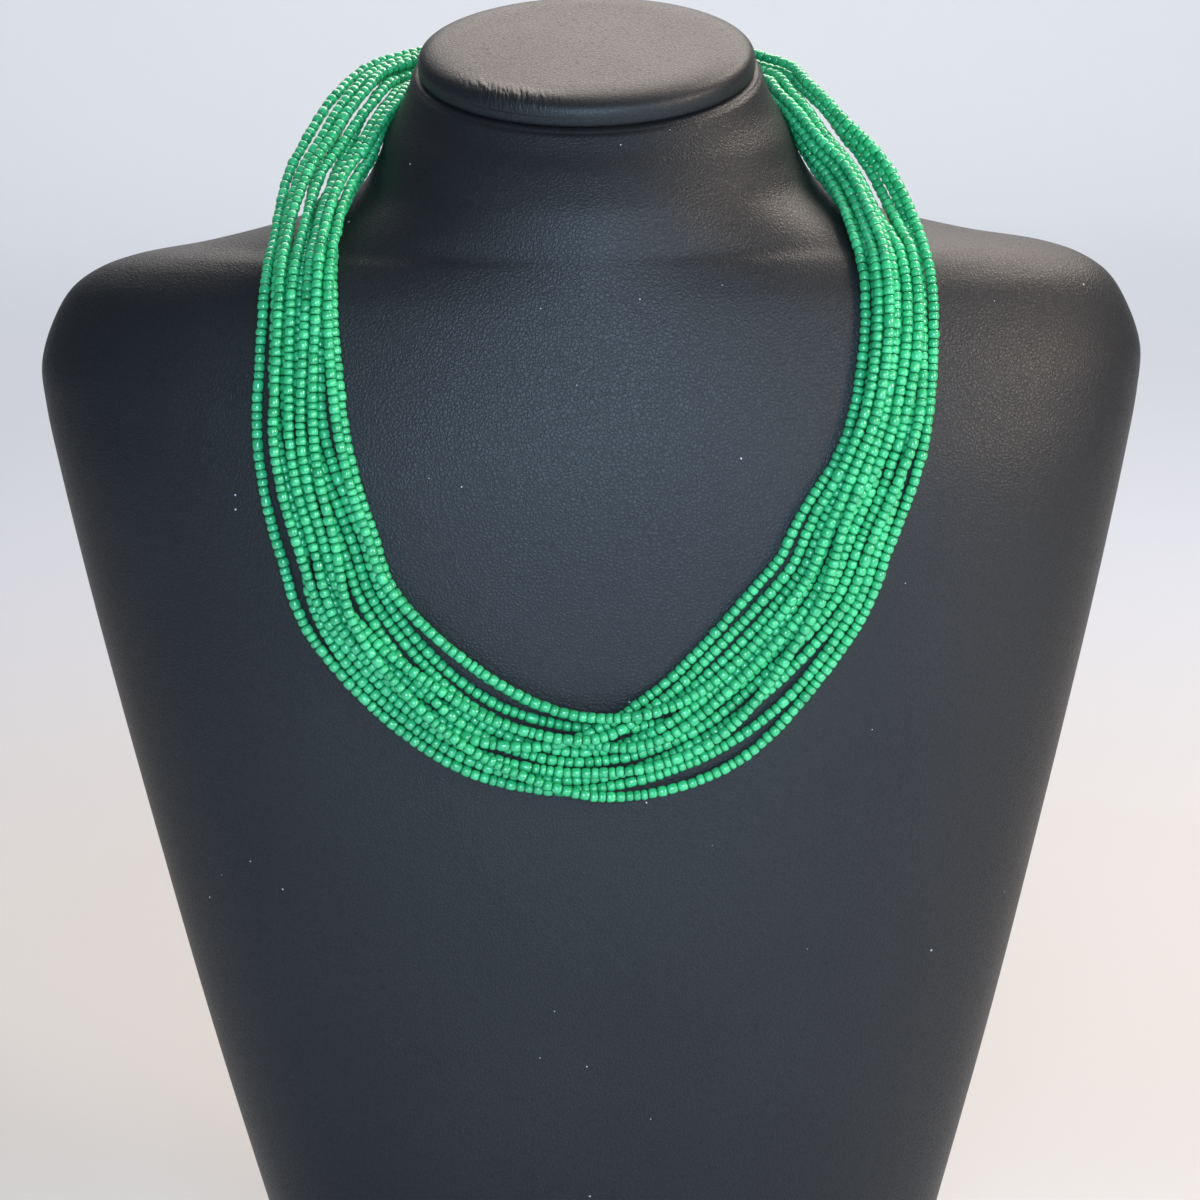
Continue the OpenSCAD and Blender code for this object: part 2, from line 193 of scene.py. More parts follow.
def smooth_rows(rows, steps):
    """Rows between the given ones: each column is a cubic in the distance between rows, measured in
    height and half width, whose slope at a row is the mean of the slopes beside it."""
    spacing = np.sqrt(np.hypot(np.diff(rows[:, 0]), np.diff(rows[:, 1])))
    place = np.concatenate([[0], np.cumsum(spacing)])
    slope = np.gradient(rows, place, axis=0)
    t = np.linspace(0, place[-1], steps)
    i = np.clip(np.searchsorted(place, t, side="right") - 1, 0, len(rows) - 2)
    h = (place[i + 1] - place[i])[:, None]
    s = ((t - place[i])[:, None]) / h
    return ((2 * s ** 3 - 3 * s ** 2 + 1) * rows[i] + (s ** 3 - 2 * s ** 2 + s) * h * slope[i]
            + (3 * s ** 2 - 2 * s ** 3) * rows[i + 1] + (s ** 3 - s ** 2) * h * slope[i + 1])


def bust_table():
    """Rows of the whole bust in millimetres: height, half width, front, back, squareness, lean."""
    torso = np.column_stack([TORSO_ROWS[:, 0] * SHOULDER_H, TORSO_ROWS[:, 1] * SHOULDER_W / 2,
                             TORSO_ROWS[:, 2] * CHEST_D, TORSO_ROWS[:, 3] * BACK_D, TORSO_ROWS[:, 4],
                             np.zeros(len(TORSO_ROWS))])
    neck = np.column_stack([SHOULDER_H + NECK_ROWS[:, 0] * NECK_H, NECK_ROWS[:, 1] * NECK_W / 2,
                            NECK_ROWS[:, 2] * NECK_D / 2, NECK_ROWS[:, 3] * NECK_D / 2, NECK_ROWS[:, 4],
                            NECK_ROWS[:, 5] * NECK_TILT])
    return smooth_rows(np.concatenate([torso, neck]), 190)


BUST_TABLE = bust_table()


def rims(rows, sides, inset=0.0):
    """Outlines of the rows: half ovals of the row's width and depth whose corners fill out as the
    squareness grows, turned about the X axis by the row's lean."""
    angle = np.linspace(0, 2 * np.pi, sides, endpoint=False)[None, :]
    c, s = np.cos(angle), np.sin(angle)
    rows = np.asarray(rows)[:, :, None]
    inset = np.reshape(inset, (-1, 1)) if np.ndim(inset) else inset
    power = 2 / rows[:, 4]
    x = (rows[:, 1] - inset) * np.sign(c) * np.abs(c) ** power
    depth = np.where(s < 0, rows[:, 2], rows[:, 3]) - inset
    y = depth * np.sign(s) * np.abs(s) ** power
    lean = np.radians(rows[:, 5])
    return np.stack([x, y * np.cos(lean), rows[:, 0] + y * np.sin(lean)], -1)


def bust_value(p):
    """Below 1 inside the bust and above 1 outside: the oval sum of the row that a point lies on."""
    z = p[..., 2]
    for _ in range(2):
        z = p[..., 2] - p[..., 1] * np.tan(np.radians(np.interp(z, BUST_TABLE[:, 0], BUST_TABLE[:, 5])))
    width, front, back, square, lean = (np.interp(z, BUST_TABLE[:, 0], BUST_TABLE[:, c]) for c in range(1, 6))
    depth = np.where(p[..., 1] < 0, front, back) * np.cos(np.radians(lean))
    value = np.abs(p[..., 0] / width) ** square + np.abs(p[..., 1] / depth) ** square
    return np.where(z > NECK_TOP, 9.0, value)


def bust_clearance(p):
    """Distance from the bust in millimetres, near its surface, and the direction away from it."""
    step = 0.05
    value = bust_value(p)
    grad = np.stack([(bust_value(p + step * axis) - value) / step for axis in np.eye(3)], -1)
    size = np.maximum(np.linalg.norm(grad, axis=-1), 1e-6)
    return (value - 1) / size, grad / size[..., None]


# ---------------------------------------------------------------- the strands' lines

def bundle():
    """The bundle's middle line from the clasp's left cup round the front to its right cup: place,
    direction away from the bust and lying mark of each station, and every strand's place across."""
    mirror = np.array([-1, 1, 1])
    right = STATIONS[:, :3] + [0, 0, SHOULDER_H]
    out = STATIONS[:, 3:6]
    lying = STATIONS[:, 6]
    places = np.column_stack([LEFT_PLACES[:, :1], LEFT_PLACES, RIGHT_PLACES[:, ::-1], RIGHT_PLACES[:, :1]])
    return (np.concatenate([(right[1:] * mirror)[::-1], right]),
            np.concatenate([(out[1:] * mirror)[::-1], out]),
            np.concatenate([lying[1:][::-1], lying]), places)


def rings(count):
    """Rings evenly spaced along the bundle's middle line: place, across, out, lying mark, and the
    strands' places across. Across is the inner side of the loop, square to the way of the line."""
    line, outward, lying, places = bundle()
    end = len(line) - 1
    fine = np.linspace(0, end, 8 * end + 1)
    runs = np.concatenate([[0], np.cumsum(np.linalg.norm(np.diff(catmull(line, fine), axis=0), axis=1))])
    u = np.interp(np.linspace(0, runs[-1], count), runs, fine)
    at = catmull(line, u)
    along = np.empty_like(at)
    along[1:-1] = unit(at[2:] - at[:-2])
    along[[0, -1]] = [-1, 0, 0]
    across = unit(np.cross(catmull(outward, u), along))
    out = np.cross(along, across)
    i = np.clip(np.floor(u).astype(int), 0, end - 1)
    return at, across, out, np.minimum(lying[i], lying[i + 1]), np.array([catmull(p, u) for p in places])


def laid_heights(at, across, out, lying, places):
    """Heights of the strands as the solids have them: each strand rests on the bust or on the ones
    laid before it, then its height is eased along the strand, never lower than it was."""
    count = len(at)
    heights = []
    for k, place in enumerate(places):
        base = at + across * place[:, None]
        low, high = np.full(count, -30.0), np.full(count, 30.0)
        for _ in range(18):
            middle = (low + high) / 2
            inside = bust_value(base + out * middle[:, None]) < 1
            low, high = np.where(inside, middle, low), np.where(inside, high, middle)
        rest = np.where(lying == 1, high + SEAT, np.maximum(high + SEAT, 0))
        for j in range(k):
            apart = place - places[j]
            padded = np.pad(apart, 1, mode="edge")
            near = np.stack([padded[:-2], padded[1:-1], padded[2:]])
            apart = np.where((near.min(0) < 0) & (near.max(0) > 0), 0, np.abs(apart))
            over = heights[j] + np.sqrt(np.maximum(STRAND_PITCH ** 2 - apart ** 2, 0))
            rest = np.maximum(rest, np.where(apart < STRAND_PITCH, over, -99))
        padded = np.pad(rest, 1, mode="edge")
        high = np.maximum(np.maximum(padded[:-2], padded[1:-1]), padded[2:])
        padded = np.pad(high, 1, mode="edge")
        heights.append(np.maximum(rest, (padded[:-2] + padded[1:-1] + padded[2:]) / 3))
    return np.array(heights)


def settle(gap, steps=260):
    """Strand lines once the strings have come to rest. From the laid lines, each step draws the
    strings towards the bust where they lie on it and towards the neck where they pass beside it,
    evens them along their length, holds them loosely to their places across, and pushes points of
    two strings apart until they keep the gap, and clear of the bust."""
    at, across, out, lying, wanted = rings(FINE_RINGS)
    coarse = rings(COARSE_RINGS)
    heights = laid_heights(*coarse)
    ring = np.linspace(0, COARSE_RINGS - 1, FINE_RINGS)
    w = np.array([np.interp(ring, np.arange(COARSE_RINGS), row) for row in coarse[4]])
    h = np.array([np.interp(ring, np.arange(COARSE_RINGS), row) for row in heights])
    window = 2 * LYING_BLEND + 1
    lying = np.convolve(np.pad(lying, LYING_BLEND, mode="edge"), np.full(window, 1 / window), "valid")
    beside = (1 - lying) * np.clip((LEAN_END - at[:, 1]) / LEAN_BLEND, 0, 1)
    inner = np.clip((wanted - wanted.mean(0)) / 12 + 0.8, 0.3, 1)
    ends = np.minimum(np.arange(FINE_RINGS), np.arange(FINE_RINGS)[::-1])
    free = np.clip((ends - 2) / 6, 0, 1)
    own = np.arange(len(wanted))
    for step in range(steps):
        ease = 1 - step / steps
        w0, h0 = w.copy(), h.copy()
        h = h - (DRAW_DOWN[0] + DRAW_DOWN[1] * ease) * lying
        for grid in (w, h):
            for _ in range(EVEN_ROUNDS):
                grid[:, 1:-1] += 0.5 * ((grid[:, :-2] + grid[:, 2:]) / 2 - grid[:, 1:-1])
        w += (HOLD_PLACE[0] + HOLD_PLACE[1] * ease) * (wanted - w)
        w += LEAN_IN * beside * inner
        for _ in range(PUSH_ROUNDS):
            points = at + across * w[..., None] + out * h[..., None]
            push = np.zeros_like(points)
            for shift in range(-PUSH_REACH, PUSH_REACH + 1):
                a = slice(max(0, -shift), FINE_RINGS - max(0, shift))
                b = slice(max(0, shift), FINE_RINGS - max(0, -shift))
                apart = points[:, None, a] - points[None, :, b]
                size = np.linalg.norm(apart, axis=-1)
                size[own, own] = 99
                short = np.maximum(gap - size, 0) / np.maximum(size, 1e-3)
                push[:, a] += np.einsum("kji,kjic->kic", short, apart)
            push *= PUSH_SHARE
            w += (push * across).sum(-1)
            h += (push * out).sum(-1)
            points = at + across * w[..., None] + out * h[..., None]
            clear, away = bust_clearance(points)
            lift = np.clip(LEAST_CLEAR - clear, 0, 1.0)[..., None] * away
            w += (lift * across).sum(-1)
            h += (lift * out).sum(-1)
        w = w0 + np.clip(w - w0, -LARGEST_MOVE, LARGEST_MOVE) * free
        h = h0 + np.clip(h - h0, -LARGEST_MOVE, LARGEST_MOVE) * free
    return at + across * w[..., None] + out * h[..., None], out


# ---------------------------------------------------------------- mesh helpers

def new_object(name, points, faces, materials):
    """Mesh object from points in millimetres and faces, smooth shaded, its place in its mesh."""
    mesh = bpy.data.meshes.new(name)
    mesh.from_pydata(np.asarray(points, float) * MM, [], faces)
    mesh.polygons.foreach_set("use_smooth", np.ones(len(mesh.polygons), bool))
    for material in materials:
        mesh.materials.append(material)
    mesh.update()
    piece = bpy.data.objects.new(name, mesh)
    bpy.context.scene.collection.objects.link(piece)
    return piece


def grid_faces(rows, sides, offset=0):
    """Four sided faces between rings of equally many points, each ring closed on itself."""
    r, i = np.meshgrid(np.arange(rows - 1), np.arange(sides), indexing="ij")
    j = (i + 1) % sides
    return (np.stack([r * sides + i, r * sides + j, (r + 1) * sides + j, (r + 1) * sides + i], -1)
            .reshape(-1, 4) + offset)


def closed_loft(grid):
    """Points and faces of rings closed by a fan at both ends."""
    rows, sides = grid.shape[:2]
    points = np.concatenate([grid.reshape(-1, 3), grid[[0, -1]].mean(1)])
    low, high = rows * sides, rows * sides + 1
    i = np.arange(sides)
    j = (i + 1) % sides
    base = (rows - 1) * sides
    fans = np.concatenate([np.stack([np.full(sides, low), j, i], -1),
                           np.stack([np.full(sides, high), base + i, base + j], -1)])
    return points, grid_faces(rows, sides).tolist() + fans.tolist()


def finish_piece(piece, slot, *nodes):
    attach(piece, BODY)
    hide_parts(*nodes)


# ---------------------------------------------------------------- material helpers

# Tones laid over a material's own colour: painted shade at the beads' mouths and in the grain's creases, and
# a pale colour for lint that partly paints glints of the grain; then the fine pulls of the cap's cover: turn,
# lines a metre
MOUTH_SHADE = (0.25, 0.58, 0.52)
CREASE_SHADE = (0.55, 0.55, 0.55)
LINT_AND_GLINT_COLOUR = (0.55, 0.56, 0.58)
PULL_TURN = math.radians(24)
PULL_SCALE = (1150, 260, 260)
PULL_DEPTH = 0.0011


def add(tree, kind, place=(0, 0), **values):
    """Shader node of one kind; values that name an input set it, others set the node itself."""
    node = tree.nodes.new(kind)
    node.location = place
    for key, value in values.items():
        name = key.replace("_", " ")
        if hasattr(node, key):
            setattr(node, key, value)
        else:
            node.inputs[name].default_value = value
    return node


def new_group(name, inputs, outputs):
    """Empty node group with named sockets: (name, kind, default) in, (name, kind) out."""
    tree = bpy.data.node_groups.new(name, "ShaderNodeTree")
    for label, kind, value in inputs:
        socket = tree.interface.new_socket(label, in_out="INPUT", socket_type=kind)
        if value is not None:
            socket.default_value = value
    for label, kind in outputs:
        tree.interface.new_socket(label, in_out="OUTPUT", socket_type=kind)
    return tree, add(tree, "NodeGroupInput", (-900, 0)), add(tree, "NodeGroupOutput", (900, 0))


def fill(tree, sockets, values):
    """Set each socket to its value, or link it where the value is a socket itself."""
    for socket, value in zip(sockets, values):
        if isinstance(value, bpy.types.NodeSocket):
            tree.links.new(value, socket)
        else:
            socket.default_value = value


def math_node(tree, operation, values, place=(0, 0)):
    """Result of one operation on two or three values."""
    node = add(tree, "ShaderNodeMath", place, operation=operation)
    fill(tree, node.inputs, values)
    return node.outputs[0]


def mixed(tree, factor, first, second, place=(0, 0), blend="MIX"):
    """Mix of two colours, each a socket or its red, green and blue."""
    node = add(tree, "ShaderNodeMix", place, data_type="RGBA", blend_type=blend)
    colours = [c if isinstance(c, bpy.types.NodeSocket) else (*c, 1) for c in (first, second)]
    fill(tree, (node.inputs[0], node.inputs[6], node.inputs[7]), (factor, *colours))
    return node.outputs[2]


def scaled(tree, vector, factor, place=(0, 0)):
    node = add(tree, "ShaderNodeVectorMath", place, operation="SCALE")
    fill(tree, (node.inputs[0], node.inputs["Scale"]), (vector, factor))
    return node.outputs[0]


def noise(tree, vector, scale, detail=2.0, roughness=0.5, place=(0, 0)):
    node = add(tree, "ShaderNodeTexNoise", place, Scale=scale, Detail=detail, Roughness=roughness)
    tree.links.new(vector, node.inputs["Vector"])
    return node.outputs["Fac"]


def leather_group():
    """Pressed grain of a coated cloth: small rounded pebbles between fine creases, broken up by a finer
    grain, and a slow cloud for the cloth's tone and roughness."""
    tree, given, result = new_group(
        "pressed_grain",
        [("Vector", "NodeSocketVector", None), ("Grain per metre", "NodeSocketFloat", 900.0)],
        [("Height", "NodeSocketFloat"), ("Crease", "NodeSocketFloat"), ("Cloud", "NodeSocketFloat")])
    link = tree.links.new
    vector = given.outputs["Vector"]
    grain = scaled(tree, vector, given.outputs["Grain per metre"], (-700, 0))
    bent = add(tree, "ShaderNodeTexNoise", (-520, -200), Scale=0.8, Detail=1.0)
    link(grain, bent.inputs["Vector"])
    shifted = add(tree, "ShaderNodeVectorMath", (-340, -60), operation="ADD")
    fill(tree, shifted.inputs, (grain, bent.outputs["Color"]))
    pebble = add(tree, "ShaderNodeTexVoronoi", (-160, 0), feature="DISTANCE_TO_EDGE", Scale=1.0)
    link(shifted.outputs[0], pebble.inputs["Vector"])
    rounded = math_node(tree, "SMOOTH_MIN", (pebble.outputs["Distance"], 0.28, 0.3), (20, 0))
    fine = noise(tree, grain, 2.7, 2.0, 0.6, (-160, -260))
    link(math_node(tree, "MULTIPLY_ADD", (fine, 0.35, rounded), (200, -60)), result.inputs["Height"])
    crease = add(tree, "ShaderNodeMapRange", (200, 160), From_Min=0.0, From_Max=0.12, To_Min=1.0, To_Max=0.0)
    link(pebble.outputs["Distance"], crease.inputs["Value"])
    link(crease.outputs["Result"], result.inputs["Crease"])
    link(noise(tree, vector, 22.0, 3.0, 0.55, (200, -320)), result.inputs["Cloud"])
    return tree


def lint_group():
    """Sparse specks of lint, partly painted glints of the grain: the middles of a few randomly chosen cells.
    """
    tree, given, result = new_group(
        "lint_specks",
        [("Vector", "NodeSocketVector", None), ("Cells per metre", "NodeSocketFloat", 260.0),
         ("Share", "NodeSocketFloat", 0.10)],
        [("Mask", "NodeSocketFloat")])
    link = tree.links.new
    cells = scaled(tree, given.outputs["Vector"], given.outputs["Cells per metre"], (-700, 0))
    speck = add(tree, "ShaderNodeTexVoronoi", (-500, 0), feature="F1", Scale=1.0)
    link(cells, speck.inputs["Vector"])
    split = add(tree, "ShaderNodeSeparateColor", (-320, -200))
    link(speck.outputs["Color"], split.inputs[0])
    chosen = math_node(tree, "LESS_THAN", (split.outputs[0], given.outputs["Share"]), (-140, -200))
    size = math_node(tree, "MULTIPLY_ADD", (split.outputs[1], 0.05, 0.02), (-140, -380))
    inside = math_node(tree, "LESS_THAN", (speck.outputs["Distance"], size), (40, 0))
    link(math_node(tree, "MULTIPLY", (inside, chosen), (220, 0)), result.inputs["Mask"])
    return tree


def bead_group():
    """Tone of pressed glass beads: each bead a little paler or bluer, cloudy inside, and darkened towards its
    mouths by painted shade, where the beads meet and less light gets in."""
    tree, given, result = new_group(
        "bead_tone",
        [("Vector", "NodeSocketVector", None), ("Tint", "NodeSocketFloat", 0.5),
         ("Mouth shade", "NodeSocketFloat", 0.0), ("Deep", "NodeSocketColor", (0.004, 0.30, 0.10, 1)),
         ("Pale", "NodeSocketColor", (0.06, 0.62, 0.24, 1))],
        [("Color", "NodeSocketColor"), ("Roughness", "NodeSocketFloat")])
    cloud = noise(tree, given.outputs["Vector"], 420.0, 2.0, 0.5, (-500, -100))
    tint = math_node(tree, "MULTIPLY", (given.outputs["Tint"], 0.75), (-500, 120))
    part = math_node(tree, "MULTIPLY_ADD", (cloud, 0.35, tint), (-300, 0))
    body = mixed(tree, part, given.outputs["Deep"], given.outputs["Pale"], (-80, 0))
    # Painted shade: the body darkened towards the bead's mouths, where the beads meet.
    shaded = mixed(tree, given.outputs["Mouth shade"], body, MOUTH_SHADE, (160, 0), "MULTIPLY")
    rough = math_node(tree, "MULTIPLY_ADD", (cloud, 0.14, 0.16), (-80, -260))
    fill(tree, result.inputs, (shaded, rough))
    return tree


def new_material(name):
    """Material with a Principled BSDF and the piece's Object coordinates."""
    material = bpy.data.materials.new(name)
    material.use_nodes = True
    tree = material.node_tree
    tree.nodes.clear()
    shader = add(tree, "ShaderNodeBsdfPrincipled", (300, 0))
    output = add(tree, "ShaderNodeOutputMaterial", (620, 0))
    tree.links.new(shader.outputs[0], output.inputs["Surface"])
    coords = add(tree, "ShaderNodeTexCoord", (-1100, 0))
    return material, tree, shader, coords.outputs["Object"]


def placed_group(tree, group, vector, place, **values):
    node = add(tree, "ShaderNodeGroup", place)
    node.node_tree = group
    tree.links.new(vector, node.inputs["Vector"])
    for key, value in values.items():
        node.inputs[key.replace("_", " ")].default_value = value
    return node


def bumped(tree, height, distance, place, strength=1.0):
    node = add(tree, "ShaderNodeBump", place, Strength=strength, Distance=distance)
    tree.links.new(height, node.inputs["Height"])
    return node


def leather_material(name, chosen, depth_share=1.0, creased=False):
    """Coated cloth: near black, its grain's creases darkened by painted shade, roughness varied by grain and
    cloud. A creased cover has fine pulls across its edge where the piece's own mark says so."""
    material, tree, shader, vector = new_material(name)
    link = tree.links.new
    pressed = placed_group(tree, groups()["grain"], vector, (-850, 0), Grain_per_metre=chosen.grain)
    lint = placed_group(tree, groups()["lint"], vector, (-850, -400))
    cloud, crease = pressed.outputs["Cloud"], pressed.outputs["Crease"]
    dark, light = ([c * share for c in chosen.colour] for share in (0.75, 1.3))
    shade = mixed(tree, cloud, dark, light, (-450, 150))
    # Painted shade in the grain's creases.
    painted_crease_shade = mixed(tree, crease, shade, CREASE_SHADE, (-250, 150), "MULTIPLY")
    # Pale specks of lint, partly painted glints of the grain, over the cloth.
    link(mixed(tree, lint.outputs["Mask"], painted_crease_shade, LINT_AND_GLINT_COLOUR, (-50, 150)), shader.inputs["Base Color"])
    rough = math_node(tree, "MULTIPLY_ADD", (cloud, 0.10, chosen.roughness - 0.05), (-450, -120))
    link(math_node(tree, "MULTIPLY_ADD", (crease, 0.12, rough), (-250, -120)), shader.inputs["Roughness"])
    grain = bumped(tree, pressed.outputs["Height"], depth_share * chosen.grain_depth, (-50, -300))
    link(grain.outputs[0], shader.inputs["Normal"])
    if creased:
        turned = add(tree, "ShaderNodeMapping", (-850, -700), Rotation=(0, 0, PULL_TURN), Scale=PULL_SCALE)
        link(vector, turned.inputs["Vector"])
        pulls = noise(tree, turned.outputs[0], 1.0, 1.5, 0.45, (-650, -700))
        mark = add(tree, "ShaderNodeAttribute", (-650, -900), attribute_name="cover_pull")
        height = math_node(tree, "MULTIPLY", (pulls, mark.outputs["Fac"]), (-450, -750))
        fold = bumped(tree, height, PULL_DEPTH, (-250, -600))
        link(fold.outputs[0], grain.inputs["Normal"])
    shader.inputs["Specular IOR Level"].default_value = 0.36
    return material


def bead_material(chosen):
    """Opaque pressed glass with a soft gloss and a little light inside; each bead's own tint, and the painted
    shade towards its mouths, come from the piece."""
    material, tree, shader, vector = new_material("bead_glass")
    link = tree.links.new
    tone = placed_group(tree, groups()["bead"], vector, (-500, 0), Deep=(*chosen.deep, 1),
                        Pale=(*chosen.pale, 1))
    for name, socket, height in (("bead_tint", "Tint", -200), ("bead_mouth_shade", "Mouth shade", -400)):
        value = add(tree, "ShaderNodeAttribute", (-850, height), attribute_name=name)
        link(value.outputs["Fac"], tone.inputs[socket])
    link(tone.outputs["Color"], shader.inputs["Base Color"])
    link(tone.outputs["Roughness"], shader.inputs["Roughness"])
    ripple = bumped(tree, noise(tree, vector, 900.0, 1.0, 0.5, (-500, -350)), 0.00012, (-100, -300), 0.5)
    link(ripple.outputs[0], shader.inputs["Normal"])
    for name, value in (("Coat Weight", 0.7), ("Coat Roughness", 0.10), ("Subsurface Weight", 0.35),
                        ("Subsurface Scale", 0.0014), ("Subsurface Radius", (0.35, 1.0, 0.6))):
        shader.inputs[name].default_value = value
    return material


def thread_material(colour):
    material, tree, shader, vector = new_material("string_thread")
    twist = noise(tree, vector, 2500.0, 1.0, 0.5, (-500, 0))
    tone = mixed(tree, twist, [c * 0.6 for c in colour], colour, (-200, 0))
    tree.links.new(tone, shader.inputs["Base Color"])
    shader.inputs["Roughness"].default_value = 0.7
    return material


def clasp_material():
    """Bright plated metal, finely scratched, its tone a little duller in random patches."""
    material, tree, shader, vector = new_material("clasp_plating")
    link = tree.links.new
    stretched = add(tree, "ShaderNodeMapping", (-850, -100), Scale=(300, 2200, 2200))
    link(vector, stretched.inputs["Vector"])
    scratch = noise(tree, stretched.outputs[0], 1.0, 3.0, 0.6, (-600, -100))
    cloud = noise(tree, vector, 260.0, 3.0, 0.6, (-600, 160))
    link(mixed(tree, cloud, (0.62, 0.62, 0.63), (0.84, 0.84, 0.86), (-300, 160)), shader.inputs["Base Color"])
    shader.inputs["Metallic"].default_value = 1.0
    link(math_node(tree, "MULTIPLY_ADD", (scratch, 0.22, 0.1), (-300, -100)), shader.inputs["Roughness"])
    link(bumped(tree, scratch, 0.00005, (-50, -300), 0.25).outputs[0], shader.inputs["Normal"])
    return material


_groups = {}


def groups():
    """The shared node groups, built once."""
    if not _groups:
        _groups.update(grain=leather_group(), lint=lint_group(), bead=bead_group())
    return _groups


# ---------------------------------------------------------------- settings

class BustSettings(bpy.types.PropertyGroup):
    """Sizes and colours of the covered bust and its cap."""
    colour: bpy.props.FloatVectorProperty(
        name="Cover colour", description="Colour of the coated cloth", subtype="COLOR", size=3,
        default=(0.013, 0.0135, 0.015), min=0, max=1)
    grain: bpy.props.FloatProperty(
        name="Grain per metre", description="Pebbles of the pressed grain in a metre", default=1050.0,
        min=200)
    grain_depth: bpy.props.FloatProperty(
        name="Grain depth", description="Depth of the pressed grain", default=0.00017, unit="LENGTH", min=0)
    roughness: bpy.props.FloatProperty(
        name="Cover roughness", description="Mean roughness of the coated cloth", default=0.43, min=0, max=1)
    edge: bpy.props.FloatProperty(
        name="Edge rounding", description="Rounding of the neck's upper rim and of the foot's edge",
        default=0.0012, unit="LENGTH", min=0)


class StrandSettings(bpy.types.PropertyGroup):
    """Sizes and colours of the strings of beads."""
    bead_d: bpy.props.FloatProperty(
        name="Bead diameter", description="Mean diameter of a bead", default=0.00262, unit="LENGTH",
        min=0.001)
    bead_l: bpy.props.FloatProperty(
        name="Bead length", description="Mean length of a bead", default=0.0021, unit="LENGTH", min=0.001)
    gap: bpy.props.FloatProperty(
        name="String spacing", description="Least distance between two strings", default=0.00270,
        unit="LENGTH", min=0.001)
    thread_d: bpy.props.FloatProperty(
        name="Thread diameter", description="Diameter of the thread", default=0.0006, unit="LENGTH",
        min=0.0001)
    deep: bpy.props.FloatVectorProperty(
        name="Deep green", description="Colour of the darkest beads", subtype="COLOR", size=3,
        default=(0.004, 0.30, 0.10), min=0, max=1)
    pale: bpy.props.FloatVectorProperty(
        name="Pale green", description="Colour of the palest beads", subtype="COLOR", size=3,
        default=(0.055, 0.61, 0.24), min=0, max=1)
    thread: bpy.props.FloatVectorProperty(
        name="Thread colour", description="Colour of the thread", subtype="COLOR", size=3,
        default=(0.01, 0.16, 0.06), min=0, max=1)
    seed: bpy.props.IntProperty(name="Seed", description="Draw of the beads' sizes and tints", default=7)


class StageSettings(bpy.types.PropertyGroup):
    """Floor, light and camera."""
    # Painted light: the floor's four colours stand in for light, a cool front that throws bluish light onto
    # the chest and tones that even out the lamps' falloff, warm near the bust and cool far off.
    front: bpy.props.FloatVectorProperty(
        name="Front colour", description="Colour of the floor before the bust", subtype="COLOR", size=3,
        default=(0.70, 0.82, 0.95), min=0, max=1)
    floor: bpy.props.FloatVectorProperty(
        name="Floor colour", description="Colour of the pale floor near the bust", subtype="COLOR", size=3,
        default=(0.52, 0.515, 0.51), min=0, max=1)
    middle: bpy.props.FloatVectorProperty(
        name="Middle colour", description="Colour of the floor behind the bust", subtype="COLOR", size=3,
        default=(0.51, 0.55, 0.62), min=0, max=1)
    backdrop: bpy.props.FloatVectorProperty(
        name="Backdrop colour", description="Colour of the floor's far end", subtype="COLOR", size=3,
        default=(0.78, 0.82, 0.89), min=0, max=1)
    room_lamp: bpy.props.FloatProperty(
        name="Room lamp", description="Power of the wide light over the floor", default=75.0, min=0)
    back_light: bpy.props.FloatProperty(
        name="Back light", description="Power of the light above and behind", default=9.5, min=0)
    side_light: bpy.props.FloatProperty(
        name="Side light", description="Power of the warm light from the right", default=22.5, min=0)
    front_light: bpy.props.FloatProperty(
        name="Front light", description="Power of the cool light from the front", default=17.5, min=0)
    sky: bpy.props.FloatProperty(
        name="Room light", description="Strength of the even light from all round", default=0.15, min=0)


# ---------------------------------------------------------------- pieces

def covered_bust(edge):
    """The bust's rows as a smooth closed form: the neck's rim and the foot's edge are quarter rounds
    whose inset is the radius less its cosine part."""
    sides = 216
    turn = np.linspace(0, np.pi / 2, 6)
    top, foot = BUST_TABLE[-1], BUST_TABLE[0]
    body = BUST_TABLE[1:-1].copy()
    body[:, 0] = np.maximum(body[:, 0], edge)
    low = np.repeat(foot[None], 6, 0)
    low[:, 0] = edge * (1 - np.sin(turn))
    low = rims(low, sides, edge * (1 - np.cos(turn)))[::-1]
    turn = turn[1:]
    high = np.repeat(top[None], 5, 0)
    high[:, 0] = top[0] - edge * (1 - np.sin(turn)) * np.cos(np.radians(NECK_TILT))
    grid = [low, rims(body, sides), rims(high, sides, edge * (1 - np.cos(turn)))]
    centre_low = grid[0][0].mean(0)
    inner = [centre_low + (grid[0][0] - centre_low) * s for s in (0.35, 0.75)]
    centre_high = grid[-1][-1].mean(0)
    upper = [centre_high + (grid[-1][-1] - centre_high) * s for s in (0.9, 0.5)]
    return np.concatenate([np.array(inner), *grid, np.array(upper)])


